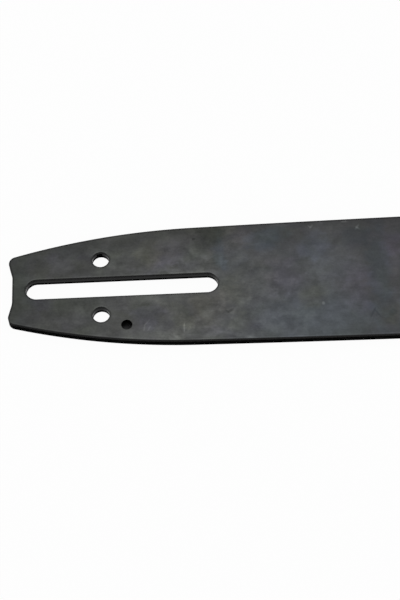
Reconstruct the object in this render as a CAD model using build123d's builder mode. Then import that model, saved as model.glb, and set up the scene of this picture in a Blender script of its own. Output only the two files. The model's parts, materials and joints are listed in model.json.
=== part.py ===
# Laminated chainsaw guide bar with a sprocket nose, in millimetres.
# X runs along the bar from tail to nose, Y across it and Z through its thickness.
# The origin is the middle of the stud slot, on the lower face.

import os
from math import asin, pi, radians, sin, cos, sqrt

from build123d import *

# Plate stack: two side plates on a core, whose thickness is the width of the chain groove
side_plate_thickness = 1.35
core_thickness = 1.35
edge_break = 0.15
groove_depth = 6.2

# Rails: a nose arc, a long belly arc tangent to it and a tail arc tangent to the belly
nose_centre_x = 350.0
nose_radius = 22.8
belly_rise = 2.1
belly_x = 170.0
tail_blend_x = 26.0
tail_radius = 264.0

# Stud slot, and the tail that stands behind it
slot_length = 70.8
slot_width = 8.2
tail_wall = 4.9
tail_hollow_depth = 2.0
tail_hollow_width = 11.2
tail_hollow_radius = 7.5
tail_corner_radius = 2.85

# Tensioner holes and oil hole
tensioner_hole_diameter = 6.3
tensioner_hole_spacing = 23.0
tensioner_hole_x = -7.75
oil_hole_diameter = 3.9
oil_hole_x = 1.5
oil_hole_inset = 5.9
oil_way_clearance = 0.2

# Nose sprocket
tooth_count = 9
tooth_projection = 1.7
gullet_depth = 6.0
gullet_radius = 3.2
tooth_flank_angle = 28.0
tooth_tip_fillet = 1.2
pocket_clearance = 1.0
side_clearance = 0.1

# Nose bearing and its rivet
hub_radius = 6.6
roller_diameter = 2.4
roller_clearance = 0.05
roller_gap = 0.05
rivet_radius = 3.0
rivet_head_radius = 4.0
rivet_head_depth = 0.9

# Heights in the stack
core_bottom = side_plate_thickness
core_top = core_bottom + core_thickness
bar_thickness = core_top + side_plate_thickness
running_thickness = core_thickness - 2 * side_clearance
running_plane = Plane.XY.offset(core_bottom + side_clearance)

# Circles that the rails are made of
belly_half_width = nose_radius + belly_rise
nose_run = nose_centre_x - belly_x
belly_radius = (nose_run**2 + belly_half_width**2 - nose_radius**2) / (2 * belly_rise)
belly_centre = Vector(belly_x, belly_half_width - belly_radius)
nose_centre = Vector(nose_centre_x, 0)


def on_circle(centre, radius, x):
    """The upper point of a circle at the given x."""
    return Vector(x, centre.Y + sqrt(radius**2 - (x - centre.X) ** 2))


blend_point = on_circle(belly_centre, belly_radius, tail_blend_x)
blend_normal = (blend_point - belly_centre).normalized()
tail_centre = blend_point - blend_normal * tail_radius
nose_normal = (nose_centre - belly_centre).normalized()

# Places along the bar
tail_hollow_x = -(slot_length / 2 + tail_wall)
tail_tip_x = tail_hollow_x - tail_hollow_depth
oil_hole_y = on_circle(tail_centre, tail_radius, oil_hole_x).Y - oil_hole_inset
tensioner_hole_y = tensioner_hole_spacing / 2


def rail(inset):
    """Draw the tail arc and the belly arc of the upper rail, moved towards the middle by inset."""
    tail_end = on_circle(tail_centre, tail_radius - inset, tail_tip_x)
    blend = blend_point - blend_normal * inset
    nose_end = nose_centre + nose_normal * (nose_radius - inset)
    RadiusArc(tail_end, blend, tail_radius - inset)
    RadiusArc(blend, nose_end, belly_radius - inset)
    return tail_end, nose_end


# Outline of the side plates, drawn as one half and mirrored
with BuildSketch() as bar_outline:
    with BuildLine():
        tail_tip, nose_start = rail(0)
        nose_tip = nose_centre + Vector(nose_radius, 0)
        RadiusArc(nose_start, nose_tip, nose_radius)
        Polyline(nose_tip, (tail_hollow_x, 0), (tail_hollow_x, tail_hollow_width / 2), tail_tip)
    make_face()
    mirror(about=Plane.XZ)
    fillet(bar_outline.vertices().group_by(Axis.X)[1], tail_hollow_radius)
    fillet(bar_outline.vertices().group_by(Axis.X)[0], tail_corner_radius)

# The strip between the floors of the two chain grooves
with BuildSketch() as groove_floors:
    with BuildLine():
        floor_start, floor_end = rail(groove_depth)
        Polyline(floor_end, (floor_end.X, 0), (floor_start.X, 0), floor_start)
    make_face()
    mirror(about=Plane.XZ)

# Slot and tensioner holes, which go through the whole stack
with BuildSketch() as fixing_holes:
    SlotOverall(slot_length, slot_width)
    with Locations((tensioner_hole_x, tensioner_hole_y), (tensioner_hole_x, -tensioner_hole_y)):
        Circle(tensioner_hole_diameter / 2)

# Upper side plate: outer edges broken first, then the countersunk rivet hole
with BuildPart() as upper_side_plate:
    with BuildSketch(Plane.XY.offset(core_top)):
        add(bar_outline.sketch)
        add(fixing_holes.sketch, mode=Mode.SUBTRACT)
        with Locations((oil_hole_x, -oil_hole_y)):
            Circle(oil_hole_diameter / 2, mode=Mode.SUBTRACT)
    extrude(amount=side_plate_thickness)
    chamfer(upper_side_plate.faces().sort_by(Axis.Z)[-1].edges(), edge_break)
    with Locations((nose_centre_x, 0, bar_thickness)):
        Hole(rivet_radius)
    with Locations((nose_centre_x, 0, bar_thickness - rivet_head_depth / 2)):
        Cone(rivet_radius, rivet_head_radius, rivet_head_depth, mode=Mode.SUBTRACT)
upper_side_plate.part.label = "upper_side_plate"

# Lower side plate: the same plate turned over about the bar's long axis
with BuildPart() as lower_side_plate:
    add(upper_side_plate.part.rotate(Axis((0, 0, bar_thickness / 2), (1, 0, 0)), 180))
lower_side_plate.part.label = "lower_side_plate"

# Core plate: open to the oil holes at the groove floor, and cut back round the sprocket
tooth_tip_radius = nose_radius + tooth_projection
with BuildPart() as core_plate:
    with BuildSketch(Plane.XY.offset(core_bottom)):
        add(bar_outline.sketch)
        add(groove_floors.sketch, mode=Mode.INTERSECT)
        add(fixing_holes.sketch, mode=Mode.SUBTRACT)
        with Locations((oil_hole_x, oil_hole_y), (oil_hole_x, -oil_hole_y)):
            Circle(oil_hole_diameter / 2 + oil_way_clearance, mode=Mode.SUBTRACT)
        with Locations((nose_centre_x, 0)):
            Circle(tooth_tip_radius + pocket_clearance, mode=Mode.SUBTRACT)
    extrude(amount=core_thickness)
core_plate.part.label = "core_plate"

# Bearing circles, from the hub outwards
roller_radius = roller_diameter / 2
roller_pitch_radius = hub_radius + roller_clearance + roller_radius
sprocket_bore_radius = roller_pitch_radius + roller_radius + roller_clearance
roller_count = int(pi / asin((roller_radius + roller_gap / 2) / roller_pitch_radius))

# Sprocket: round-bottomed gullets with straight flanks, between rounded teeth
gullet_centre_radius = nose_radius - gullet_depth + gullet_radius
flank = radians(tooth_flank_angle)
flank_start = Vector(-gullet_radius * sin(flank), gullet_radius * cos(flank))
flank_end = flank_start + Vector(cos(flank), sin(flank)) * tooth_tip_radius
with BuildPart() as nose_sprocket:
    with BuildSketch(running_plane) as tooth_profile:
        with Locations((nose_centre_x, 0)):
            Circle(tooth_tip_radius)
            with PolarLocations(gullet_centre_radius, tooth_count):
                Circle(gullet_radius, mode=Mode.SUBTRACT)
                Polygon(
                    (flank_start.X, flank_start.Y),
                    (flank_end.X, flank_end.Y),
                    (flank_end.X, -flank_end.Y),
                    (flank_start.X, -flank_start.Y),
                    align=None,
                    mode=Mode.SUBTRACT,
                )
            Circle(sprocket_bore_radius, mode=Mode.SUBTRACT)
        tooth_corners = tooth_profile.vertices().sort_by_distance(nose_centre)[-2 * tooth_count :]
        fillet(tooth_corners, tooth_tip_fillet)
    extrude(amount=running_thickness)
nose_sprocket.part.label = "nose_sprocket"

# Hub: the inner race, as thick as the core so that the side plates clamp it
with BuildPart() as bearing_hub:
    with BuildSketch(Plane.XY.offset(core_bottom)):
        with Locations((nose_centre_x, 0)):
            Circle(hub_radius)
            Circle(rivet_radius, mode=Mode.SUBTRACT)
    extrude(amount=core_thickness)
bearing_hub.part.label = "bearing_hub"

# Rivet: a shank through the stack with a flush conical head in each side plate
with BuildPart() as hub_rivet:
    with Locations((nose_centre_x, 0, bar_thickness / 2)):
        Cylinder(rivet_radius, bar_thickness)
    with Locations((nose_centre_x, 0, bar_thickness - rivet_head_depth / 2)):
        Cone(rivet_radius, rivet_head_radius, rivet_head_depth)
    with Locations((nose_centre_x, 0, rivet_head_depth / 2)):
        Cone(rivet_head_radius, rivet_radius, rivet_head_depth)
hub_rivet.part.label = "hub_rivet"

os.makedirs("parts", exist_ok=True)
for piece in (upper_side_plate, core_plate, lower_side_plate, nose_sprocket, bearing_hub, hub_rivet):
    export_step(piece.part, f"parts/{piece.part.label}.step")

# Rollers: a full ring of them, each a loose piece of its own
for index in range(roller_count):
    turn = index * 360 / roller_count
    roller_centre = nose_centre + Vector(roller_pitch_radius, 0).rotate(Axis.Z, turn)
    with BuildPart() as bearing_roller:
        with BuildSketch(running_plane):
            with Locations((roller_centre.X, roller_centre.Y)):
                Circle(roller_radius)
        extrude(amount=running_thickness)
    bearing_roller.part.label = f"bearing_roller_{index + 1:02d}"
    export_step(bearing_roller.part, f"parts/{bearing_roller.part.label}.step")
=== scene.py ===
# %% [markdown]
# # A chainsaw guide bar
# A guide bar is the flat steel blade that a saw chain runs round. This one is laminated: two side plates
# are welded to a core, and the core stands back from the edge, which leaves the groove for the chain. The
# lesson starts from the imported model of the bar, which fixes every size and place. The plates, the toothed
# wheel in the nose and its rivet are then made again with finer edges, and every piece gets its finish.

# %% Load the frame
import json

import bpy
import numpy as np
from mathutils import Matrix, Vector
from mathutils.geometry import delaunay_2d_cdt


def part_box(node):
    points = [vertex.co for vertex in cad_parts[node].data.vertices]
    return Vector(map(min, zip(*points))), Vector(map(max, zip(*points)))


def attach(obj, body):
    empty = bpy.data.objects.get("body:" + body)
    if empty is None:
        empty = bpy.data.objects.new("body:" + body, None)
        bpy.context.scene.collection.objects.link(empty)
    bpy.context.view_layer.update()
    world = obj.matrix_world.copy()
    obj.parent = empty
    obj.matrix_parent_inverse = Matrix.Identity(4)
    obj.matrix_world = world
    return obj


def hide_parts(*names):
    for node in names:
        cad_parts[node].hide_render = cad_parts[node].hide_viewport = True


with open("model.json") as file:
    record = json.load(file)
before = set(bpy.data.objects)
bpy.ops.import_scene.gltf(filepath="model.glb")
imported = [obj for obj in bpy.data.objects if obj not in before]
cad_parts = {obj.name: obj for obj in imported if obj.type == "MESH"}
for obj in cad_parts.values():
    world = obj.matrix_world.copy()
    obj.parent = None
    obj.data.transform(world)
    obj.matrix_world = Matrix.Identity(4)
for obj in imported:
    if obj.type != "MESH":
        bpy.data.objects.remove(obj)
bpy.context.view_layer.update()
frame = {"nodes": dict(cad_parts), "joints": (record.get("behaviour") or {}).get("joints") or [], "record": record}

# %% [markdown]
# ## Sizes
# Heights, the nose axle and the round holes are read from the frame. The curves of the edge can't be, so
# their few driving sizes are written here. The rail is one very large arc, the belly, which runs into a
# nose arc at one end and into a tighter tail arc at the other.

# %% Sizes of the bar, in metres
mm = 0.001
_, plate_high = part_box("upper_side_plate")
_, core_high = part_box("core_plate")
wheel_low, wheel_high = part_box("nose_sprocket")
bar_thickness = plate_high.z
nose_centre = np.array(frame["joints"][0]["pos_m"][:2])
mounts = {mount["name"]: mount for mount in frame["record"]["mounts"]}

nose_radius = 22.8 * mm
belly_rise = 2.1 * mm
belly_x = 170 * mm
tail_blend_x = 26 * mm
tail_radius = 264 * mm
slot_length = 70.8 * mm
slot_width = 8.2 * mm
tail_wall = 4.9 * mm
tail_hollow_depth = 2 * mm
tail_hollow_width = 11.2 * mm
tail_hollow_radius = 7.5 * mm
tail_corner_radius = 2.85 * mm
print("thickness", round(bar_thickness / mm, 2), "mm, nose axle at", nose_centre / mm)

# %% [markdown]
# ## Edges as chains of arcs
# Every edge of the bar is a chain of arcs that run smoothly into each other, with straight runs between
# some of them. It could be drawn as a curve object, but a formula gives more: it knows the outward normal
# at every point, so the whole edge can be moved inwards by any amount. That is what a rounded edge needs,
# because it is the same edge drawn again and again, each time a little further in.

# %% Edge points
arc_points = 40
same_place = 1e-8


def unit(angle):
    """The direction (cos, sin) of an angle or of an array of angles, on the last axis."""
    return np.stack([np.cos(angle), np.sin(angle)], axis=-1)


def angle_of(vector):
    """The angle of a direction in the plane."""
    return np.arctan2(vector[1], vector[0])


def reach_circle(start, direction, radius):
    """The larger root t of |start + t * direction| = radius, for a circle about the origin."""
    along = start @ direction
    return np.sqrt(along**2 - start @ start + radius**2) - along


def edge_points(arcs):
    """Points of a closed edge with the metal on its left, and the outward normal at each point.
    An arc is a row (centre x, centre y, radius, first angle, last angle). The angle is that of the
    outward normal and goes evenly from first to last. The point is centre + radius * (cos, sin), so a
    hollow arc has a negative radius. A point that falls on the next one is left out."""
    share = np.linspace(0, 1, arc_points)
    angles = arcs[:, 3:4] + (arcs[:, 4:5] - arcs[:, 3:4]) * share
    normals = unit(angles)
    points = arcs[:, None, :2] + arcs[:, None, 2:3] * normals
    points, normals = points.reshape(-1, 2), normals.reshape(-1, 2)
    kept = np.linalg.norm(points - np.roll(points, -1, axis=0), axis=1) > same_place
    return points[kept], normals[kept]


def hole(x, y, radius):
    """A round hole as one hollow arc, walked clockwise."""
    return np.array([[x, y, -radius, 2 * np.pi, 0.0]])


print("points on a round hole:", len(edge_points(hole(0, 0, mm))[0]))

# %% [markdown]
# ## Outline
# The outline of a side plate goes from the nose along the rail to the tail, where a rounded corner leads
# into a shallow hollow. Each arc has to touch its neighbours without a kink, so centres and angles are
# worked out from that rule. Only one half is worked out, and the other is its mirror image, walked the
# other way.

# %% Outline of a side plate
belly_half_width = nose_radius + belly_rise
nose_run = nose_centre[0] - belly_x
belly_radius = (nose_run**2 + belly_half_width**2 - nose_radius**2) / (2 * belly_rise)
belly_centre = np.array([belly_x, belly_half_width - belly_radius])
nose_angle = angle_of(nose_centre - belly_centre)
blend_angle = np.arccos((tail_blend_x - belly_x) / belly_radius)
tail_centre = belly_centre + (belly_radius - tail_radius) * unit(blend_angle)

hollow_x = -(slot_length / 2 + tail_wall)
tip_x = hollow_x - tail_hollow_depth
tip = np.array([tip_x, tail_centre[1] + np.sqrt(tail_radius**2 - (tip_x - tail_centre[0]) ** 2)])
hollow_end = np.array([hollow_x, tail_hollow_width / 2])
slant = (tip - hollow_end) / np.linalg.norm(tip - hollow_end)
slant_normal = np.array([-slant[1], slant[0]])
slant_angle = angle_of(slant_normal) + 2 * np.pi

# The corner's arc touches the slanted tail edge and the tail arc from inside
corner_start = hollow_end - slant_normal * tail_corner_radius
corner_reach = reach_circle(corner_start - tail_centre, slant, tail_radius - tail_corner_radius)
corner_centre = corner_start + slant * corner_reach
corner_angle = angle_of(corner_centre - tail_centre)
hollow_lift = tail_hollow_radius * (1 + slant_normal[0]) / slant_normal[1]
hollow_centre = hollow_end + np.array([-tail_hollow_radius, hollow_lift])

upper_half = np.array([
    [*nose_centre, nose_radius, 0, nose_angle],
    [*belly_centre, belly_radius, nose_angle, blend_angle],
    [*tail_centre, tail_radius, blend_angle, corner_angle],
    [*corner_centre, tail_corner_radius, corner_angle, slant_angle],
    [*hollow_centre, -tail_hollow_radius, slant_angle, np.pi],
])
lower_half = upper_half[::-1, [0, 1, 2, 4, 3]] * [1, -1, 1, -1, -1] + [0, 0, 0, 2 * np.pi, 2 * np.pi]
plate_outline = np.vstack([upper_half, lower_half])
outline_points, _ = edge_points(plate_outline)
print("outline from", outline_points.min(0) / mm, "to", outline_points.max(0) / mm)

# %% [markdown]
# ## Holes
# The saw's two studs pass through a long slot with round ends. The tensioner's pin fits one of two round
# holes, and oil reaches the groove through a small hole in each plate. Holes are edges too, walked
# clockwise so that the metal is again on the left.

# %% Holes of a side plate
slot_radius = slot_width / 2
slot_end_x = slot_length / 2 - slot_radius
stud_slot = np.array([
    [slot_end_x, 0, -slot_radius, 1.5 * np.pi, 0.5 * np.pi],
    [-slot_end_x, 0, -slot_radius, 0.5 * np.pi, -0.5 * np.pi],
])


def mounted_hole(name):
    """A round hole of the place and size that the record gives for a mount."""
    mount = mounts[name]
    return hole(*mount["pos_m"][:2], mount["dims"]["r_mm"] * mm)


tensioner_holes = [mounted_hole(f"tensioner_hole_{side}_y") for side in ("plus", "minus")]
oil_hole = mounted_hole("oil_hole_upper")
rivet_low, rivet_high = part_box("hub_rivet")
rivet_head_radius = (rivet_high.y - rivet_low.y) / 2
rivet_radius = 3 * mm
rivet_head_depth = 0.9 * mm
rivet_hole = hole(*nose_centre, rivet_radius)
print("slot", slot_length / mm, "mm long, oil hole at", oil_hole[0, :2] / mm)

# %% [markdown]
# ## Solid plates from edges
# A stamped plate is its edge profile carried round every edge, closed by a flat face above and below. A
# Boolean or a Bevel modifier could cut and round a block instead, but it would leave uneven faces along
# the long rails. Each point also keeps how far over the edge it lies and which way the edge looks there,
# so that the finish can treat the flat and the rim differently, and walls get their own slot.

# %% Edge profile and bands
round_steps = 6


def edge_profile(bottom, top, bottom_round, top_round, land, rim):
    """Rows of (inset, height, edge share) from the lower face over the wall to the upper face.
    A round is a quarter circle: inset = r - r cos, height = r sin past the wall's end. The edge share is
    1 on the wall, falls to the rim's share over the round and to 0 over the land, a flat rim beside it."""
    turn = np.linspace(0, np.pi / 2, round_steps)
    rise = np.column_stack([1 - np.cos(turn), np.sin(turn), np.linspace(1, rim, round_steps)])
    upper = rise * [top_round, top_round, 1] + [0, top - top_round, 0]
    upper = np.vstack([upper, [top_round + land, top, 0]])
    if bottom_round == 0:
        return np.vstack([[0, bottom, 1], upper])
    lower = rise * [bottom_round, -bottom_round, 1] + [0, bottom + bottom_round, 0]
    return np.vstack([[bottom_round + land, bottom, 0], lower[::-1], upper])


def carry(profile, arcs):
    """A profile carried round an edge: row k is the edge moved into the metal by inset k, at height k."""
    points, normals = edge_points(arcs)
    rings = points - profile[:, 0, None, None] * normals
    heights = np.broadcast_to(profile[:, 1, None, None], (*rings.shape[:2], 1))
    return np.concatenate([rings, heights], axis=2), normals


def band_faces(rows, columns, first):
    """Quads of a closed band whose points are numbered row by row from first."""
    here = first + np.arange(rows * columns).reshape(rows, columns)
    ahead = np.roll(here, -1, axis=1)
    return np.stack([here[:-1], ahead[:-1], ahead[1:], here[1:]], axis=-1).reshape(-1, 4)


print("rows of a double round:", 2 * round_steps + 2)

# %% [markdown]
# ## Flat faces
# The flat face of a plate is what lies between its rings. A constrained Delaunay triangulation joins the
# rings' points and a loose field of inner points, which keeps the triangles well shaped, and the even-odd
# rule then drops the triangles that lie in the holes.

# %% Flat faces
field_spacing = 6 * mm
least_gap = field_spacing / 3
merge_distance = 1e-9


def inside(points, rings):
    """Even-odd rule: a point is inside when a line towards +X crosses the rings an odd number of times."""
    x, y = points[:, 0, None], points[:, 1, None]
    crossings = np.zeros(len(points), int)
    for ring in rings:
        ax, ay = ring.T
        bx, by = np.roll(ring, -1, axis=0).T
        rise = np.where(by == ay, 1, by - ay)
        crosses = (ay > y) != (by > y)
        crossings += (crosses & (x < ax + (y - ay) * (bx - ax) / rise)).sum(axis=1)
    return crossings % 2 == 1


def inner_field(edge, rings):
    """A staggered grid of points over the rings' box, kept inside the rings and off the edge."""
    low, high = edge.min(axis=0), edge.max(axis=0)
    columns, rows = np.maximum(((high - low) / field_spacing).astype(int), 2)
    across = np.linspace(low[0], high[0], columns)
    up = np.linspace(low[1], high[1], rows)
    grid = np.stack(np.meshgrid(across, up), axis=-1)
    grid[::2, :, 0] += field_spacing / 2
    field = grid.reshape(-1, 2)
    clear = np.linalg.norm(field[:, None] - edge[None], axis=2).min(axis=1) > least_gap
    return field[clear & inside(field, rings)]


def fill_flat(rings):
    """Triangles between flat rings, anticlockwise, and the field points that they use as well."""
    edge = np.vstack(rings)
    field = inner_field(edge, rings)
    points = np.vstack([edge, field])
    counts = [len(ring) for ring in rings]
    starts = np.cumsum([0] + counts[:-1])
    borders = np.vstack([
        np.column_stack([first + np.arange(count), first + np.roll(np.arange(count), -1)])
        for first, count in zip(starts, counts)
    ])
    _, _, corners, sources, *_ = delaunay_2d_cdt(points.tolist(), borders.tolist(), [], 0, merge_distance)
    origin = np.array([source[0] for source in sources])
    triangles = origin[np.array(corners)]
    triangles = triangles[inside(points[triangles].mean(axis=1), rings)]
    a, b, c = np.moveaxis(points[triangles], 1, 0)
    turn = (b[:, 0] - a[:, 0]) * (c[:, 1] - a[:, 1]) - (b[:, 1] - a[:, 1]) * (c[:, 0] - a[:, 0])
    triangles[turn < 0] = triangles[turn < 0][:, ::-1]
    return triangles, field


print("field points about", field_spacing / mm, "mm apart")

# %% [markdown]
# ## From shape to piece
# A shape is a dictionary of arrays: points, faces, the material slot of each face and the values that the
# finish reads at each point. One function fills it from the edges of a plate, and another turns any shape
# into a mesh object whose place is in its mesh.

# %% Plate builder
face_slot, rail_wall_slot, bore_wall_slot, oil_wall_slot, inner_slot = range(5)


def solid_plate(edges, under_slot):
    """The shape of a plate from its (profile, arcs, wall slot) rows. The bands round the edges come first
    and are smooth, and the lowest row of each band is its wall. The edge side is how far the edge looks
    towards +Y."""
    points, shares, sides, bands, slots = [], [], [], [], []
    bottoms, tops = [], []
    first = 0
    for profile, arcs, wall_slot in edges:
        sheet, normals = carry(profile, arcs)
        rows, columns = sheet.shape[:2]
        points.append(sheet.reshape(-1, 3))
        shares.append(np.repeat(profile[:, 2], columns))
        sides.append(np.tile(normals[:, 1], rows))
        bands.append(band_faces(rows, columns, first))
        slots.append(np.repeat([wall_slot] + [face_slot] * (rows - 2), columns))
        numbers = first + np.arange(columns)
        bottoms.append((sheet[0], numbers))
        tops.append((sheet[-1], numbers + (rows - 1) * columns))
        first += rows * columns
    bands = np.vstack(bands)
    faces = bands.tolist()
    for rings, turned_down, slot in ((bottoms, True, under_slot), (tops, False, face_slot)):
        triangles, field = fill_flat([ring[:, :2] for ring, _ in rings])
        height = rings[0][0][0, 2]
        numbers = np.concatenate([numbers for _, numbers in rings] + [first + np.arange(len(field))])
        points.append(np.column_stack([field, np.full(len(field), height)]))
        shares.append(np.zeros(len(field)))
        sides.append(np.zeros(len(field)))
        slots.append(np.full(len(triangles), slot))
        faces += (numbers[triangles][:, ::-1] if turned_down else numbers[triangles]).tolist()
        first += len(field)
    return {
        "points": np.vstack(points),
        "faces": faces,
        "smooth": len(bands),
        "slots": np.concatenate(slots),
        "edge_share": np.concatenate(shares),
        "edge_side": np.concatenate(sides),
    }


def new_piece(name, shape):
    """A mesh object at the origin. The shape's first smooth faces are shaded smooth, the rest flat."""
    mesh = bpy.data.meshes.new(name)
    mesh.from_pydata(shape["points"].tolist(), [], shape["faces"])
    mesh.polygons.foreach_set("use_smooth", np.arange(len(shape["faces"])) < shape["smooth"])
    if "slots" in shape:
        mesh.polygons.foreach_set("material_index", shape["slots"].astype(np.int32))
    for label in ("edge_share", "edge_side"):
        if label in shape:
            values = mesh.attributes.new(label, "FLOAT", "POINT").data
            values.foreach_set("value", shape[label].astype(np.float32))
    mesh.update()
    piece = bpy.data.objects.new(name, mesh)
    bpy.context.scene.collection.objects.link(piece)
    print(name, len(shape["points"]), "points", len(shape["faces"]), "faces")
    return piece


print("slots of a plate:", inner_slot + 1)

# %% [markdown]
# ## Side plates
# The two side plates come from one stamping die. The lower one is the same plate turned over about the
# bar's long axis, so it is the same array of points with Y and Z reversed, which is a half turn and keeps
# every face pointing outwards. The outer edges are just broken, as tumbling and blackening leave them, and
# the inner edges that meet the core stay sharp. The rim along the rails keeps more of the wall's black
# than the rim round the holes.

# %% Side plates
edge_round = 0.12 * mm
edge_land = 0.7 * mm
rim_share = 0.5
rail_rim_share = 0.85
bore_profile = edge_profile(core_high.z, bar_thickness, 0, edge_round, edge_land, rim_share)
rail_profile = edge_profile(core_high.z, bar_thickness, 0, edge_round, edge_land, rail_rim_share)
oil_profile = edge_profile(core_high.z, bar_thickness, 0, edge_round, edge_round, rim_share)
countersink_width = rivet_head_radius - rivet_radius
countersink = np.array([
    [0, core_high.z, 1],
    [0, bar_thickness - rivet_head_depth, 1],
    [countersink_width, bar_thickness, 1],
    [countersink_width + edge_land, bar_thickness, 0],
])
plate_edges = [
    (rail_profile, plate_outline, rail_wall_slot),
    (oil_profile, oil_hole, oil_wall_slot),
    (countersink, rivet_hole, bore_wall_slot),
]
plate_edges += [(bore_profile, arcs, bore_wall_slot) for arcs in [stud_slot] + tensioner_holes]
plate_shape = solid_plate(plate_edges, inner_slot)
turned_points = plate_shape["points"] * [1, -1, -1] + [0, 0, bar_thickness]
turned_shape = plate_shape | {"points": turned_points, "edge_side": -plate_shape["edge_side"]}
upper_plate = new_piece("upper_plate", plate_shape)
lower_plate = new_piece("lower_plate", turned_shape)
for piece, node in ((upper_plate, "upper_side_plate"), (lower_plate, "lower_side_plate")):
    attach(piece, "bar")
    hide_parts(node)

# %% [markdown]
# ## Nose wheel
# A thin toothed wheel turns in the nose and carries the chain round it. A tooth gap is a round gullet with
# straight flanks, and each tooth has a tip on the outer circle with two small rounds. Because the whole
# profile is again a chain of arcs, the plate builder makes the wheel too. One gap is worked out with its
# middle on the X axis, and the others are the same rows turned about the axle.

# %% Nose wheel
tooth_count = 9
tooth_projection = 1.7 * mm
gullet_depth = 6 * mm
gullet_radius = 3.2 * mm
flank_angle = np.radians(28)
tip_fillet = 1.2 * mm
wheel_bore = 9.1 * mm
tip_radius = nose_radius + tooth_projection
gullet_distance = nose_radius - gullet_depth + gullet_radius
flank_normal = flank_angle - np.pi / 2
flank_start = np.array([gullet_distance, 0]) - gullet_radius * unit(flank_normal)

# The tip's round touches the flank and the tip circle from inside
round_start = flank_start - tip_fillet * unit(flank_normal)
round_reach = reach_circle(round_start, unit(flank_angle), tip_radius - tip_fillet)
round_centre = round_start + round_reach * unit(flank_angle)
round_angle = angle_of(round_centre)
pitch_angle = 2 * np.pi / tooth_count
one_gap = np.array([
    [round_centre[0], -round_centre[1], tip_fillet, -round_angle, -flank_normal],
    [gullet_distance, 0, -gullet_radius, -flank_normal, flank_normal],
    [*round_centre, tip_fillet, flank_normal, round_angle],
    [0, 0, tip_radius, round_angle, pitch_angle - round_angle],
])


def turned_gap(turn):
    """The rows of one tooth gap turned about the axle, and moved to it."""
    across = np.column_stack([-one_gap[:, 1], one_gap[:, 0]])
    centres = nose_centre + one_gap[:, :2] * np.cos(turn) + across * np.sin(turn)
    return np.column_stack([centres, one_gap[:, 2], one_gap[:, 3:] + turn])


wheel_outline = np.vstack([turned_gap(index * pitch_angle) for index in range(tooth_count)])
wheel_profile = edge_profile(wheel_low.z, wheel_high.z, edge_round, edge_round, edge_round, rim_share)
wheel_bore_hole = hole(*nose_centre, wheel_bore)
wheel_edges = [(wheel_profile, arcs, face_slot) for arcs in (wheel_outline, wheel_bore_hole)]
nose_wheel = new_piece("nose_wheel", solid_plate(wheel_edges, face_slot))
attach(nose_wheel, "sprocket")
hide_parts("nose_sprocket")

# %% [markdown]
# ## Rivet
# One rivet holds the nose together. Its heads are pressed into countersinks and ground flush, which leaves
# a shallow dish from the press and a thin ring round the head. It is a turned shape, so its profile of
# radius and height is carried round the axle, with one point at each pole.

# %% Rivet
turn_steps = 96


def turned(profile, centre):
    """A closed turned shape: points centre + radius * (cos, sin) at each height, with a pole at each end."""
    angles = np.linspace(0, 2 * np.pi, turn_steps, endpoint=False)
    rows = len(profile) - 2
    rings = centre + profile[1:-1, 0, None, None] * unit(angles)
    heights = np.broadcast_to(profile[1:-1, 1, None, None], (rows, turn_steps, 1))
    sheet = np.concatenate([rings, heights], axis=2).reshape(-1, 3)
    poles = np.column_stack([np.broadcast_to(centre, (2, 2)), profile[[0, -1], 1]])
    first_ring = np.arange(turn_steps)
    last_ring = first_ring + (rows - 1) * turn_steps
    low_pole = np.full(turn_steps, rows * turn_steps)
    low_fan = np.column_stack([np.roll(first_ring, -1), first_ring, low_pole])
    high_fan = np.column_stack([last_ring, np.roll(last_ring, -1), low_pole + 1])
    faces = band_faces(rows, turn_steps, 0).tolist() + low_fan.tolist() + high_fan.tolist()
    return {"points": np.vstack([sheet, poles]), "faces": faces, "smooth": len(faces)}


ring_gap = 0.06 * mm
dish_radius = 0.7 * rivet_head_radius

# Steps inwards and downwards from the head's rim and from the dish's rim, in ring gaps
rim_steps = np.array([[3, 3], [2.5, 1], [4, 0]])
dish_steps = np.array([[0, 0], [4, 0.5], [12, 1]])
dish_depth = 1.3
head_top = np.vstack([
    [rivet_radius, bar_thickness - rivet_head_depth],
    [rivet_head_radius, bar_thickness] - rim_steps * ring_gap,
    [dish_radius, bar_thickness] - dish_steps * ring_gap,
    [0, bar_thickness - dish_depth * ring_gap],
])
head_bottom = head_top[::-1] * [1, -1] + [0, bar_thickness]
nose_rivet = new_piece("nose_rivet", turned(np.vstack([head_bottom, head_top]), nose_centre))
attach(nose_rivet, "bar")
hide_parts("hub_rivet")

# %% [markdown]
# ## Building finishes from nodes
# A finish is a small network of shader nodes. A few helpers keep the networks short to write: one adds a
# node with its inputs, the others are steps of arithmetic. All patterns read Object coordinates in
# millimetres, so they stay put when a piece moves. An effect that several finishes share is a group, which
# puts out only colours, masks and values.

# %% Node helpers
noise_middle = 0.5
noise_range = (0.3, 0.7)


def add(tree, kind, inputs=None, **options):
    """Adds a node, sets its options, and sets or links its inputs by name or number."""
    node = tree.nodes.new(kind)
    for name, value in options.items():
        setattr(node, name, value)
    for key, value in (inputs or {}).items():
        if isinstance(value, bpy.types.NodeSocket):
            tree.links.new(value, node.inputs[key])
        else:
            node.inputs[key].default_value = value
    return node


def calc(tree, operation, *values, clamp=False):
    """One step of arithmetic on numbers or sockets."""
    inputs = dict(enumerate(values))
    return add(tree, "ShaderNodeMath", inputs, operation=operation, use_clamp=clamp).outputs[0]


def span(tree, value, low, high, to_low=0.0, to_high=1.0):
    """A value taken smoothly from one range to another, and held at its ends."""
    inputs = {"Value": value, "From Min": low, "From Max": high, "To Min": to_low, "To Max": to_high}
    return add(tree, "ShaderNodeMapRange", inputs, interpolation_type="SMOOTHSTEP").outputs["Result"]


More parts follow.
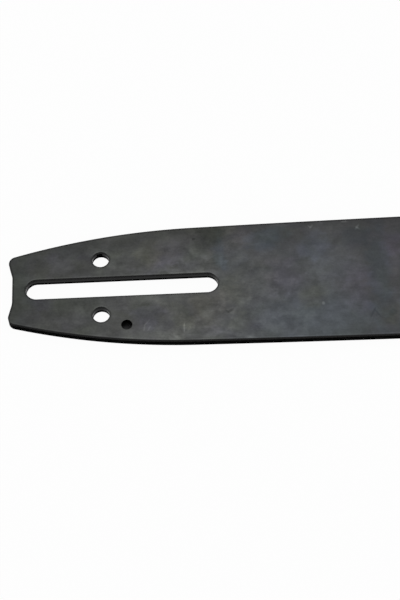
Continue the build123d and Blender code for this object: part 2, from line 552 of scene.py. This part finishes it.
def blend(tree, share, first, second, mode="MIX"):
    """Two colours mixed by a share, or the first one multiplied by the second by that share.
    Colour sockets go by number, because the node's other sockets have the same names."""
    inputs = {0: share, 6: first, 7: second}
    return add(tree, "ShaderNodeMix", inputs, data_type="RGBA", blend_type=mode).outputs[2]


def noise(tree, place, scale, detail=2.0, distortion=0.0, output="Fac"):
    """A cloudy noise that lies mostly in noise_range, about noise_middle."""
    inputs = {"Vector": place, "Scale": scale, "Detail": detail, "Roughness": 0.55}
    return add(tree, "ShaderNodeTexNoise", inputs | {"Distortion": distortion}).outputs[output]


def about_zero(tree, value):
    """A noise moved so that its middle value lies at zero."""
    return calc(tree, "SUBTRACT", value, noise_middle)


def squeeze(tree, place, scale, turn_degrees=0.0):
    """Coordinates scaled along each axis, then turned in the plane of the bar. The turn leads to another
    part of a pattern, which stays drawn out along the axes."""
    turn = (0, 0, np.radians(turn_degrees))
    return add(tree, "ShaderNodeMapping", {"Vector": place, "Rotation": turn, "Scale": scale}).outputs[0]


def in_millimetres(tree):
    """Object coordinates in millimetres."""
    return squeeze(tree, add(tree, "ShaderNodeTexCoord").outputs["Object"], (1 / mm,) * 3)


def tilt_surface(tree, shader, height, strength, depth):
    """Lets a height pattern of a depth in metres tilt the surface."""
    bump = add(tree, "ShaderNodeBump", {"Height": height, "Strength": strength, "Distance": depth})
    tree.links.new(bump.outputs[0], shader["Normal"])


print("node helpers ready")

# %% Groups and materials
def new_group(name, inputs, outputs):
    """An empty node group with named sockets, and its input and output sockets."""
    group = bpy.data.node_groups.new(name, "ShaderNodeTree")
    for label, kind, value in inputs:
        socket = group.interface.new_socket(label, in_out="INPUT", socket_type="NodeSocket" + kind)
        if value is not None:
            socket.default_value = value
    for label, kind in outputs:
        group.interface.new_socket(label, in_out="OUTPUT", socket_type="NodeSocket" + kind)
    return group, group.nodes.new("NodeGroupInput").outputs, group.nodes.new("NodeGroupOutput").inputs


def use(tree, group, inputs):
    """Places a group in a material and returns its outputs."""
    return add(tree, "ShaderNodeGroup", inputs, node_tree=group).outputs


def new_material(name):
    """A material with a Principled shader, its node tree and the shader's inputs."""
    material = bpy.data.materials.new(name)
    material.use_nodes = True
    tree = material.node_tree
    return material, tree, tree.nodes["Principled BSDF"].inputs


print("group helpers ready")

# %% [markdown]
# ## Oxide clouds
# Blackened steel is never one even grey. The bath leaves clouds of many sizes, from patches as wide as a
# finger down to specks. Five noises of falling size make the tone, and the third is drawn out along the
# bar like a wipe mark. One more noise makes the hue, which leans a little towards green or away from it,
# and more towards violet or olive. It is one group, because every steel here is cloudy.

# %% Oxide clouds
cloud_scale = 0.85
depth_scale = 6.0

# Size as a share of the patch size, strength, distortion, scale along the bar, turn in degrees
cloud_layers = (
    (1.0, 0.5, 0.8, cloud_scale, 0),
    (0.4, 0.5, 1.0, cloud_scale, 0),
    (0.22, 0.4, 0.6, 0.3, 40),
    (0.11, 0.32, 0.5, cloud_scale, 0),
    (0.035, 0.45, 0.0, cloud_scale, 0),
)

# How far red, green and blue follow the lean to green and the lean to violet
hue_leans = ((-0.03, 0.0), (0.05, -0.06), (-0.03, 0.24))

clouds_group, given, made = new_group(
    "oxide_clouds",
    [
        ("Vector", "Vector", None),
        ("Patch Size", "Float", 18.0),
        ("Contrast", "Float", 1.0),
        ("Hue", "Float", 1.0),
    ],
    [("Shade", "Color"), ("Blotch", "Float")],
)
tree = clouds_group
frequency = calc(tree, "DIVIDE", 1.0, given["Patch Size"])
tone = 0.0
for size, strength, distortion, scale, turn in cloud_layers:
    wiped = squeeze(tree, given["Vector"], (scale, 1.0, depth_scale), turn)
    cloud = noise(tree, wiped, calc(tree, "DIVIDE", frequency, size), distortion=distortion)
    tone = calc(tree, "MULTIPLY_ADD", about_zero(tree, cloud), strength, tone)
tone = calc(tree, "MULTIPLY_ADD", tone, given["Contrast"], 1.0)

flattened = squeeze(tree, given["Vector"], (cloud_scale, 1.0, depth_scale))
hue_frequency = calc(tree, "MULTIPLY", frequency, 2.0)
hues = noise(tree, flattened, hue_frequency, detail=1.0, distortion=0.5, output="Color")
to_green, to_violet = [
    calc(tree, "MULTIPLY", about_zero(tree, channel), given["Hue"])
    for channel in add(tree, "ShaderNodeSeparateColor", {0: hues}).outputs[:2]
]
channels = {}
for number, (green_weight, violet_weight) in enumerate(hue_leans):
    level = calc(tree, "MULTIPLY_ADD", to_violet, violet_weight, 1.0)
    channels[number] = calc(tree, "MULTIPLY_ADD", to_green, green_weight, level)
tint = add(tree, "ShaderNodeCombineColor", channels).outputs[0]
tree.links.new(blend(tree, 1.0, tint, tone, "MULTIPLY"), made["Shade"])

blotch_frequency = calc(tree, "MULTIPLY", frequency, 3.0)
blotches = noise(tree, flattened, blotch_frequency, detail=4.0)
tree.links.new(span(tree, blotches, *noise_range), made["Blotch"])
print(clouds_group.name, len(clouds_group.nodes), "nodes")

# %% [markdown]
# ## Grinding lines and scratches
# Sheet steel is rolled and ground along its length, so very fine lines run along the bar: a noise squeezed
# to long streaks. Use leaves short scratches too, of three lengths. A scratch is where a squeezed noise
# passes through its middle value, and a second, larger noise lets only some of them through.

# %% Grinding lines and scratches
line_scale = (0.02, 1.0, 1.0)

# The turn of each kind of scratch and its scale along the bar
scratch_rows = ((12, 0.05), (-35, 0.08), (74, 0.09))
scratch_crowding = 1.4
scratch_frequency = 1.3
scratch_width = 0.012
patch_frequency = 0.37
patch_range = (0.56, 0.7)

lines_group, given, made = new_group(
    "grinding_lines", [("Vector", "Vector", None), ("Spacing", "Float", 0.5)], [("Lines", "Float")]
)
frequency = calc(lines_group, "DIVIDE", 1.0, given["Spacing"])
streaks = noise(lines_group, squeeze(lines_group, given["Vector"], line_scale), frequency)
lines_group.links.new(streaks, made["Lines"])

scratch_group, given, made = new_group(
    "fine_scratches", [("Vector", "Vector", None), ("Amount", "Float", 0.5)], [("Scratches", "Float")]
)
tree = scratch_group
total = 0.0
for turn, scale in scratch_rows:
    turned_place = squeeze(tree, given["Vector"], (scale, scratch_crowding, 1.0), turn)
    from_middle = about_zero(tree, noise(tree, turned_place, scratch_frequency, detail=1.0))
    thin = span(tree, calc(tree, "ABSOLUTE", from_middle), scratch_width, 0.0)
    patch = span(tree, noise(tree, turned_place, patch_frequency, detail=0.0), *patch_range)
    total = calc(tree, "MULTIPLY_ADD", thin, patch, total)
scratches = calc(tree, "MULTIPLY", total, given["Amount"], clamp=True)
tree.links.new(scratches, made["Scratches"])
print(lines_group.name, scratch_group.name)

# %% [markdown]
# ## Stains and scuffs
# The clouds give the film its character, but a few patches and scuffs lie in places of their own. A stain
# is an ellipse that may be turned, with a soft or a crisp border and a ragged outline. A scuff is a very
# thin stain. Broad ellipses of the same kind paint light and shade over the plate.

# %% Stains and scuffs
ellipse_group, given, made = new_group(
    "ellipse_patch",
    [
        ("Vector", "Vector", None),
        ("Centre", "Vector", None),
        ("Half Size", "Vector", None),
        ("Turn", "Float", 0.0),
        ("Softness", "Float", 0.5),
        ("Ragged", "Float", 0.0),
    ],
    [("Mask", "Float")],
)


def vector_step(tree, operation, *values):
    """One step of vector arithmetic, with its outputs."""
    return add(tree, "ShaderNodeVectorMath", dict(enumerate(values)), operation=operation).outputs


tree = ellipse_group
offset = vector_step(tree, "SUBTRACT", given["Vector"], given["Centre"])["Vector"]
unturn = calc(tree, "RADIANS", calc(tree, "MULTIPLY", given["Turn"], -1.0))
spin = {"Vector": offset, "Angle": unturn}
unturned = add(tree, "ShaderNodeVectorRotate", spin, rotation_type="Z_AXIS").outputs[0]
scaled = vector_step(tree, "DIVIDE", unturned, given["Half Size"])["Vector"]
distance = calc(tree, "ADD", vector_step(tree, "LENGTH", scaled)["Value"], given["Ragged"])
outer = calc(tree, "ADD", 1.0, given["Softness"])
inner = calc(tree, "SUBTRACT", 1.0, given["Softness"])
tree.links.new(span(tree, distance, outer, inner), made["Mask"])
print(ellipse_group.name, len(ellipse_group.nodes), "nodes")

# %% [markdown]
# ## Places of the stains
# Each row gives the middle of a stain on the upper face, its half length, half width and turn, in
# millimetres and degrees, and the factor by which it changes the film: one number, or one each for red,
# green and blue. They are listed one by one: broad painted light and shade first, then coloured patches,
# then crisp scuffs and the round marks that the spot welds left.

# %% Broad and coloured patches
# Broad painted light and shade: darker tail, upper rail and nose end, painted highlights low and in the middle,
# one bluer
broad_light_and_shade = (
    (-44, 0, 34, 34, 0, (0.765, 0.77, 0.76)),
    (23, -16, 31, 10, 0, (1.15, 1.15, 1.14)),
    (44, 4, 12, 12, 0, (1.06, 1.06, 1.07)),
    (2, 22, 34, 6, 10, 0.82),
    (70, 24, 62, 9, 0, (0.82, 0.8, 0.79)),
    (104, 4, 17, 34, 0, (0.85, 0.83, 0.82)),
    (70, -17, 27, 10, 0, (1.11, 1.18, 1.25)),
)
film_patches = (
    (-38, -2, 5, 16, 0, (0.87, 0.9, 0.86)),
    (-21, 9, 6, 4.5, 0, (1.03, 1, 1.09)),
    (-33, 10, 3, 6, 0, (1.02, 1, 1.06)),
    (-28, -15, 8, 3.5, -15, (1, 0.985, 1.04)),
    (-31, -4, 5, 4, -30, (1.05, 1.04, 1.12)),
    (-13, 13, 3.5, 5, 20, 0.86),
    (-4.5, 11.5, 4, 5, 0, (1.13, 1.15, 1.11)),
    (-25, 9, 9, 3.5, 15, 1.08),
    (5.5, 13, 4.5, 3, 0, (1.08, 1.09, 1.07)),
    (25.5, 7.2, 6, 2.8, 20, (1.3, 1.29, 1.37)),
    (15.5, 9.5, 2.5, 3, 0, (1.07, 1.07, 1.09)),
    (-16, -11, 2.5, 3, 0, 1.12),
    (8, -6, 6, 2, 0, 1.07),
    (9.8, 13.5, 5, 5, 0, (1.03, 1.03, 0.93)),
    (17, 13, 6, 5, 0, (1.02, 0.99, 1.08)),
    (26.5, 13, 3.5, 5, 0, (0.93, 0.96, 0.93)),
    (33, 18.5, 5, 4.5, 20, (0.68, 0.7, 0.68)),
    (36.6, 12.2, 2.5, 6, 0, (0.93, 1, 1.08)),
    (45, 20, 5, 4, 0, (1.07, 1.04, 1.1)),
    (55, 17.5, 7, 4.5, 0, (0.91, 1, 1.1)),
    (59.7, 1, 6, 9, 0, (1.02, 0.985, 1.04)),
    (31, -11.5, 9, 8, 0, (1.03, 1, 0.975)),
    (41, -6.5, 5, 6, 0, (1.1, 1.09, 1.06)),
    (43, -18, 5, 3.5, 0, (1, 1, 0.95)),
    (9, -13.2, 5.5, 4, 0, (0.98, 0.97, 1.08)),
    (14, -11.5, 5, 2, 40, 0.91),
    (87, -4, 6, 9, 0, (1.03, 0.98, 1.04)),
    (69.5, -8, 4.5, 4.5, 0, (1.02, 1, 0.9)),
    (95, 1, 4, 20, 0, (0.87, 0.93, 0.98)),
    (101.5, 14, 4, 5, 0, (1.1, 1.04, 1.14)),
    (97, -16.5, 4, 5, 0, (1, 0.96, 0.87)),
    (92, 10.5, 3.5, 4, 30, 0.86),
    (88, 17, 6, 4.5, 0, (0.82, 0.87, 0.88)),
    (79, 3, 11, 4.5, 0, (1.07, 1.08, 1.12)),
    (32, -20.3, 5, 2, 0, (1.14, 1.12, 1.2)),
    (22, -20.3, 6, 2.2, 0, (1.42, 1.42, 1.4)),
    (72, 13.5, 6, 5, 30, (0.97, 1, 1.1)),
    (63.5, 18.5, 5, 3, 0, (0.85, 0.85, 0.8)),
    (79.8, 15, 3.5, 1.2, 56, 0.84),
    (25.5, 10, 2.5, 4, -15, 1.28),
    (11, 6.4, 7, 2.2, 5, (1.17, 1.16, 1.22)),
    (-4, 8, 2.2, 4, 0, 1.2),
    (-11, 15, 2, 2.5, 30, 1.25),
    (38.5, 13.5, 3, 4, 0, 1.24),
    (60, -2.5, 3.5, 5, 0, 1.27),
    (34, -15, 5, 2.5, 0, 1.18),
    (15, -7, 2, 2.5, 0, 1.15),
    (44, -13, 3, 2.5, 0, 0.7),
    (29, -9, 3.5, 2, 0, 0.78),
    (48.5, 12.5, 3, 2, 0, 0.8),
    (10, 14, 2, 3.5, -20, 0.8),
    (2, 17, 7, 2.5, 8, 0.86),
    (51, -10, 3, 2, 0, 0.85),
    (58, -12, 3.5, 2, 10, 0.86),
    (72, -10, 6, 2.2, 0, 0.86),
    (70.5, 23.4, 3.5, 1.4, 0, 0.86),
    (100.5, 3, 3, 10, 0, (1.03, 1, 1.06)),
    (40, 5, 2.5, 5, 0, 0.88),
    (42, 9.5, 5, 5, 0, (0.98, 0.99, 1.08)),
    (-15.5, -6, 5, 1.6, 0, 0.86),
    (8.5, -9.5, 5, 1.8, 0, (0.86, 0.87, 0.84)),
    (82, -23.5, 24, 2, 1, 0.88),
    (21.5, -13, 4, 6, 0, (0.95, 0.97, 0.9)),
)
print("patches:", len(broad_light_and_shade) + len(film_patches))

# %% Scuffs and weld marks
crisp_marks = (
    (8.9, -15.6, 1.6, 0.3, 50, (1.3, 1.3, 1.28)),
    (7.9, -17.4, 1.4, 0.3, 80, (1.35, 1.35, 1.33)),
    (9.6, -18, 1, 0.3, 60, (1.3, 1.3, 1.28)),
    (22.3, -18.4, 1.8, 0.32, 88, (1.6, 1.6, 1.58)),
    (22.6, -20.6, 1.3, 0.6, 20, 1.25),
    (23, -21.9, 5, 0.9, 2, (1.25, 1.25, 1.26)),
    (41, -21.9, 6, 0.7, -14, (1.25, 1.25, 1.24)),
    (73.3, -10.7, 0.5, 0.7, 0, (1.7, 1.7, 1.62)),
    (71.2, 21.9, 1.1, 0.4, 60, 1.45),
    (70.4, 22, 0.8, 0.35, -50, 1.4),
    (83.6, 23.4, 1.2, 0.4, 0, 1.7),
    (88.2, 20.8, 1.3, 0.4, 55, 1.5),
    (88.5, 20.4, 1.1, 0.4, -40, 1.45),
    (91, -15.5, 2.2, 0.4, 62, (0.78, 0.79, 0.8)),
    (92.7, -15.8, 2, 0.4, -58, (0.8, 0.81, 0.82)),
    (98.3, -15.7, 1.6, 1.2, 30, (0.8, 0.82, 0.82)),
    (39.4, -12.2, 1.6, 0.5, 40, 0.7),
    (38.2, -12.4, 0.8, 0.4, -40, 0.75),
    (27, 18.6, 0.6, 0.5, 0, 0.6),
)

# A weld mark is a dark disc under a slightly smaller, lighter one, which leaves a thin dark ring
weld_places = ((20.2, 10.2), (140, 6), (205, -5), (270, 6))
weld_discs = ((0.5, 5.8, 0.87), (0.0, 5.1, 1.16))
weld_marks = tuple(
    (x + shift, y, radius, radius, 0, factor)
    for x, y in weld_places
    for shift, radius, factor in weld_discs
)

# The rows of each kind, the softness of their borders and how ragged these are
patch_kinds = (
    (broad_light_and_shade, 0.75, 0.5),
    (film_patches, 0.5, 0.9),
    (crisp_marks, 0.45, 0.25),
    (weld_marks, 0.1, 0.0),
)
print("stains:", sum(len(rows) for rows, _, _ in patch_kinds))

# %% [markdown]
# ## Blackened plate
# The film on the side plates is olive grey towards the tail and blue grey towards the nose, where its
# clouds are calmer. It is metal, so the colour is what it reflects, and its roughness follows the clouds.
# The stains and the broad painted light and shade lie on the film, and the clouds, lines and scratches
# go over them.

# %% Film and stains
olive_grey = (0.063, 0.065, 0.063, 1)
blue_grey = (0.063, 0.066, 0.0685, 1)
worn_grey = (0.1, 0.1, 0.098, 1)
calm_places = (35.0, 65.0)
calm_level = 0.7
blue_places = (30.0, 70.0)
border_sway = 20.0
line_spacing = 0.55
line_tones = (0.96, 1.04)
scratch_share = 0.3

plate_finish, tree, shader = new_material("blackened_plate")
place = in_millimetres(tree)
bar_x = add(tree, "ShaderNodeSeparateXYZ", {0: place}).outputs["X"]
calm = span(tree, bar_x, *calm_places, 1.0, calm_level)
clouds = use(tree, clouds_group, {"Vector": place, "Contrast": calm, "Hue": calm})
ragged = about_zero(tree, clouds["Blotch"])
swaying_x = calc(tree, "MULTIPLY_ADD", ragged, border_sway, bar_x)
colour = blend(tree, span(tree, swaying_x, *blue_places), olive_grey, blue_grey)
for rows, softness, raggedness in patch_kinds:
    border = calc(tree, "MULTIPLY", ragged, raggedness)
    for x, y, half_length, half_width, turn, factor in rows:
        inputs = {
            "Vector": place,
            "Centre": (x, y, bar_thickness / mm),
            "Half Size": (half_length, half_width, 1.0),
            "Turn": turn,
            "Softness": softness,
            "Ragged": border,
        }
        mask = use(tree, ellipse_group, inputs)["Mask"]
        factors = np.broadcast_to(factor, 3).tolist()
        colour = blend(tree, mask, colour, (*factors, 1), "MULTIPLY")
colour = blend(tree, 1.0, colour, clouds["Shade"], "MULTIPLY")
lines = use(tree, lines_group, {"Vector": place, "Spacing": line_spacing})["Lines"]
colour = blend(tree, 1.0, colour, span(tree, lines, *noise_range, *line_tones), "MULTIPLY")
scratches = use(tree, scratch_group, {"Vector": place})["Scratches"]
colour = blend(tree, calc(tree, "MULTIPLY", scratches, scratch_share), colour, worn_grey)
print(plate_finish.name, len(tree.nodes), "nodes so far")

# %% [markdown]
# ## Rims of the plate
# The rim beside each edge is treated by the way it looks: the side towards the front is painted a little
# brighter as a painted highlight, and the other darker as painted shade. Over the edge the film gives way
# to the wall's black.

# %% Rims, roughness and lines
edge_black = (0.02, 0.02, 0.02, 1)
front_sides = (-0.9, -0.1)
front_rim_highlight = 1.2
back_rim_shade = 0.6
rim_shares = (0.05, 0.3)
black_shares = (0.6, 0.95)
film_roughness = (0.44, 0.56)
line_roughness = 0.06

edge_share = add(tree, "ShaderNodeAttribute", attribute_name="edge_share").outputs["Fac"]
edge_side = add(tree, "ShaderNodeAttribute", attribute_name="edge_side").outputs["Fac"]
# Painted highlight on rims that look towards the front, painted shade on rims that look away
rim_light_and_shade = span(tree, edge_side, *front_sides, front_rim_highlight, back_rim_shade)
colour = blend(tree, span(tree, edge_share, *rim_shares), colour, rim_light_and_shade, "MULTIPLY")
colour = blend(tree, span(tree, edge_share, *black_shares), colour, edge_black)
tree.links.new(colour, shader["Base Color"])
shader["Metallic"].default_value = 1.0
uneven = span(tree, clouds["Blotch"], 0, 1, *film_roughness)
tree.links.new(calc(tree, "MULTIPLY_ADD", lines, line_roughness, uneven), shader["Roughness"])
tilt_surface(tree, shader, lines, strength=0.15, depth=0.02 * mm)
print(plate_finish.name, len(tree.nodes), "nodes")

# %% [markdown]
# ## Walls
# The press shears the edges of a plate, and the bath then blackens the rough, torn wall. It shows hardly
# any reflections, so it is a dull shader instead of a metal one: streaks that run through the thickness,
# with a lighter band near the outer face, which fades round the tail. That band is the burnished band
# where the punch went in, and painted light as well. All that shows of the core is its wall too, and it
# has the most gloss. Painted shade darkens the lower plate's walls by the table, the walls of the oil hole
# and the core near the groove.

# %% Walls
streak_scale = (1.0, 1.0, 0.15)
streak_frequency = 1.6
streak_share = 0.3
burnish_and_light_heights = (1.2, 2.0)
burnish_and_light_shares = (0.1, 0.8)
tail_places = (-38.0, -26.0)
tail_share = 0.3
groove_shade_sides = (12.0, 14.5)


def wall_finish(name, dark, light, gloss, roughness, groove_shade_share=1.0):
    """A sheared wall between two greys: dark with streaks across the edge, lighter where the punch went in,
    a band that is also painted light near the outer face. The last factor is the share of its colour that
    painted shade near the groove leaves, off the bar's middle."""
    material, tree, shader = new_material(name)
    place = in_millimetres(tree)
    axes = add(tree, "ShaderNodeSeparateXYZ", {0: place}).outputs
    streaks = noise(tree, squeeze(tree, place, streak_scale), streak_frequency)
    from_middle = calc(tree, "ABSOLUTE", calc(tree, "SUBTRACT", axes["Z"], bar_thickness / mm / 2))
    # Lighter near the outer faces: the burnished band and painted light
    burnish_and_light = span(tree, from_middle, *burnish_and_light_heights, *burnish_and_light_shares)
    share = calc(tree, "MULTIPLY_ADD", span(tree, streaks, *noise_range), streak_share, burnish_and_light)
    share = calc(tree, "MULTIPLY", share, span(tree, axes["X"], *tail_places, tail_share, 1.0))
    grey = blend(tree, share, (dark, dark, dark, 1), (light, light, light, 1))
    # Painted shade near the groove, off the bar's middle
    groove_shade = span(tree, calc(tree, "ABSOLUTE", axes["Y"]), *groove_shade_sides, 1.0, groove_shade_share)
    tree.links.new(blend(tree, 1.0, grey, groove_shade, "MULTIPLY"), shader["Base Color"])
    shader["Roughness"].default_value = roughness
    shader["Specular IOR Level"].default_value = gloss
    tilt_surface(tree, shader, streaks, strength=0.3, depth=0.05 * mm)
    return material


rail_wall = wall_finish("sheared_rail", 0.004, 0.022, gloss=0.02, roughness=0.7)
bore_wall = wall_finish("punched_wall", 0.003, 0.006, gloss=0.01, roughness=0.35)
# A near-black wall: painted shade for the lower plate's walls by the table and for the oil hole
painted_shade_wall = wall_finish("painted_shade_wall", 0.001, 0.0025, gloss=0.0, roughness=0.7)
core_wall = wall_finish("core_wall", 0.004, 0.006, gloss=0.06, roughness=0.2, groove_shade_share=0.1)
print("walls from", rail_wall.name, "to", core_wall.name)

# %% [markdown]
# ## Inner faces, wheel, bearing and rivet
# The plates' inner faces show only in the groove and through the oil holes, and their dark is painted shade.
# The nose wheel is hardened steel with a thin oil film, the rollers and their hub are ground bright, and
# the rivet is ground flush. They share the plate's clouds and lines with other values, so one function
# makes them.

# %% Plain steel finishes
calm_hue = 0.5
fine_spacing = 0.3
scratch_amount = 0.4
scratch_lift = (1.3, 1.3, 1.3, 1)
roughness_spread = 0.06


def steel_finish(name, base, roughness, patch_size):
    """A steel of one colour, shaded by its clouds, with ground lines and fine scratches."""
    material, tree, shader = new_material(name)
    place = in_millimetres(tree)
    clouds = use(tree, clouds_group, {"Vector": place, "Patch Size": patch_size, "Hue": calm_hue})
    lines = use(tree, lines_group, {"Vector": place, "Spacing": fine_spacing})["Lines"]
    scratches = use(tree, scratch_group, {"Vector": place, "Amount": scratch_amount})["Scratches"]
    colour = blend(tree, 1.0, (*base, 1), clouds["Shade"], "MULTIPLY")
    colour = blend(tree, scratches, colour, scratch_lift, "MULTIPLY")
    tree.links.new(colour, shader["Base Color"])
    shader["Metallic"].default_value = 1.0
    limits = (roughness - roughness_spread, roughness + roughness_spread)
    tree.links.new(span(tree, clouds["Blotch"], 0, 1, *limits), shader["Roughness"])
    tilt_surface(tree, shader, lines, strength=0.25, depth=0.02 * mm)
    return material


# Painted shade: the inner faces are dark because they lie in the groove and the holes
shaded_inner_finish = steel_finish("painted_shade_inner_face", (0.022, 0.022, 0.022), roughness=0.5, patch_size=8.0)
wheel_finish = steel_finish("hardened_wheel", (0.29, 0.28, 0.27), roughness=0.38, patch_size=5.0)
bearing_finish = steel_finish("ground_bearing", (0.51, 0.51, 0.52), roughness=0.22, patch_size=3.0)
rivet_finish = steel_finish("flush_rivet", (0.12, 0.12, 0.123), roughness=0.42, patch_size=3.0)
print("steels from", shaded_inner_finish.name, "to", rivet_finish.name)

# %% Finishes in the order of the slots
piece_finishes = (
    (upper_plate, (plate_finish, rail_wall, bore_wall, painted_shade_wall, shaded_inner_finish)),
    # The lower plate's walls all take the near-black wall of painted shade
    (lower_plate, (plate_finish, painted_shade_wall, painted_shade_wall, painted_shade_wall, shaded_inner_finish)),
    (nose_wheel, (wheel_finish,)),
    (nose_rivet, (rivet_finish,)),
)
for piece, finishes in piece_finishes:
    for finish in finishes:
        piece.data.materials.append(finish)
for name, node in frame["nodes"].items():
    if name == "core_plate":
        node.material_slots[0].material = core_wall
    elif name.startswith("bearing_"):
        node.material_slots[0].material = bearing_finish
print("finished pieces:", len(piece_finishes))

# %% [markdown]
# ## Table and surround
# The bar lies on a table that is plain white to the camera and in reflections, and still takes a little
# of the bar's shadow. Strong lamps on a bright card could do that, but they would set the colour of the
# steel as well, so the table and the surround are made white for what sees them directly. From below the
# table is clear, so that the underside of the bar can be looked at too.

# %% Table
floor_half = 6.0
floor_drop = 0.05 * mm
table_grey = (0.85, 0.85, 0.85, 1)
shadow_share = 0.04
white = (1, 1, 1, 1)
corners = np.array([[-1, -1, 0], [1, -1, 0], [1, 1, 0], [-1, 1, 0]]) * floor_half - [0, 0, floor_drop]
table = new_piece("table", {"points": corners, "faces": [[0, 1, 2, 3]], "smooth": 0})


def seen_directly(tree):
    """1 for camera, glossy and transmission rays, which see plain white, and 0 for bounced light."""
    path = add(tree, "ShaderNodeLightPath").outputs
    sharp = calc(tree, "MAXIMUM", path["Is Glossy Ray"], path["Is Transmission Ray"])
    return calc(tree, "MAXIMUM", path["Is Camera Ray"], sharp)


table_finish, tree, shader = new_material("white_table")
shader["Base Color"].default_value = table_grey
shader["Roughness"].default_value = 1.0
shader["Specular IOR Level"].default_value = 0.0
glow = add(tree, "ShaderNodeEmission", {"Color": white, "Strength": 1.0}).outputs[0]
share = calc(tree, "MULTIPLY", seen_directly(tree), 1 - shadow_share)
lit = tree.nodes["Principled BSDF"].outputs[0]
mixed = add(tree, "ShaderNodeMixShader", {0: share, 1: lit, 2: glow}).outputs[0]
clear = add(tree, "ShaderNodeBsdfTransparent").outputs[0]
from_below = add(tree, "ShaderNodeNewGeometry").outputs["Backfacing"]
seen = add(tree, "ShaderNodeMixShader", {0: from_below, 1: mixed, 2: clear}).outputs[0]
tree.links.new(seen, tree.nodes["Material Output"].inputs["Surface"])
table.data.materials.append(table_finish)

# %% Surround
fill_level = 0.7
world = bpy.data.worlds.new("studio")
world.use_nodes = True
bpy.context.scene.world = world
tree = world.node_tree
strength = span(tree, seen_directly(tree), 0, 1, fill_level, 1.0)
background = tree.nodes["Background"].inputs
background["Color"].default_value = white
tree.links.new(strength, background["Strength"])
print("surround, fill level", fill_level)

# %% [markdown]
# ## Camera
# The camera stands in front of the bar and looks down on it with a long lens, as the photo was taken. Its
# place follows from the slot, the holes and the edges in the photo.

# %% Camera
focal_length = 96.0
sensor_size = 36.0
nearest = 0.01
camera_distance = 588.86 * mm
camera_target = np.array([28.452, -5.125, 0]) * mm
tilt, yaw, roll = np.radians([28.284, -0.377, -2.319])
back = np.array([np.sin(yaw) * np.cos(tilt), -np.sin(tilt), np.cos(yaw) * np.cos(tilt)])
back /= np.linalg.norm(back)
right = np.cross([-np.sin(roll), np.cos(roll), 0], back)
right /= np.linalg.norm(right)
camera_turn = Matrix(np.column_stack([right, np.cross(back, right), back]).tolist())
camera_place = camera_target + camera_distance * back
camera = bpy.data.objects.new("camera", bpy.data.cameras.new("camera"))
camera.data.lens = focal_length
camera.data.sensor_width = sensor_size
camera.data.clip_start = nearest
camera.matrix_world = Matrix.LocRotScale(camera_place, camera_turn, None)
bpy.context.scene.collection.objects.link(camera)
bpy.context.scene.camera = camera
print("camera at", np.round(camera_place / mm, 1), "mm")

# %% [markdown]
# ## Lamp
# One soft lamp hangs behind the bar, where its mirror image lies over the middle of the plate. It adds a
# gentle glow to the metal and the slight shadow in front of the bar.

# %% Lamp
lamp_distance = 1.0
lamp_size = 0.4
lamp_power = 1.2
bright_spot = np.array([40 * mm, -12 * mm, bar_thickness])
from_camera = bright_spot - camera_place
towards_lamp = from_camera * [1, 1, -1] / np.linalg.norm(from_camera)
lamp = bpy.data.objects.new("soft_lamp", bpy.data.lights.new("soft_lamp", "AREA"))
lamp.data.shape = "SQUARE"
lamp.data.size = lamp_size
lamp.data.energy = lamp_power
lamp.location = bright_spot + towards_lamp * lamp_distance
bpy.context.scene.collection.objects.link(lamp)
bpy.context.scene.view_settings.view_transform = "Standard"
print("lamp at", np.round(np.array(lamp.location) / mm), "mm")
